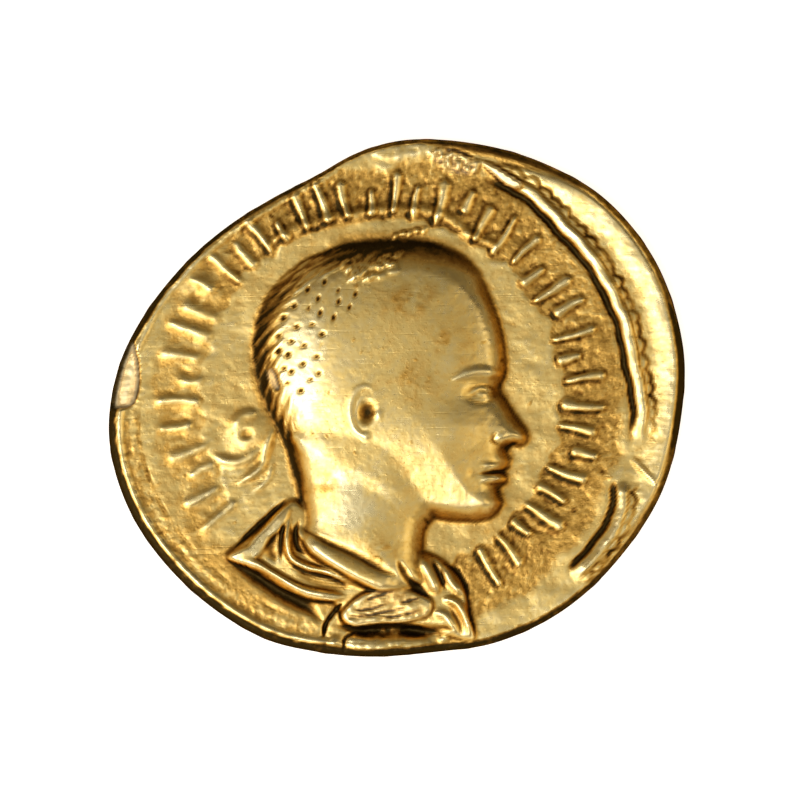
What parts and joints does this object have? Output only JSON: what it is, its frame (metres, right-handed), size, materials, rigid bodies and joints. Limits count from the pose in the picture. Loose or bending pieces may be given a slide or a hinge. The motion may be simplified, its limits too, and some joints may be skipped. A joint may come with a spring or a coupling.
{
  "type": "gold coin",
  "caption": "Worn hand-struck gold coin with a wreathed bust in relief, a ring of worn strokes and an uneven flan.",
  "frame": {"origin": "under the middle of the coin's bounding box, on the surface it lies on", "axes": "+Z out of the obverse, upwards; +X the way the head faces, along the coin's long direction; +Y towards the crown of the head"},
  "size_m": [0.0216, 0.0194, 0.0019],
  "materials": {
    "gold": "high-carat gold, worn smooth and softly shiny, with dark toning in the recesses and on the edge"
  },
  "bodies": {
    "root": {"coin": "gold"}
  },
  "joints": []
}
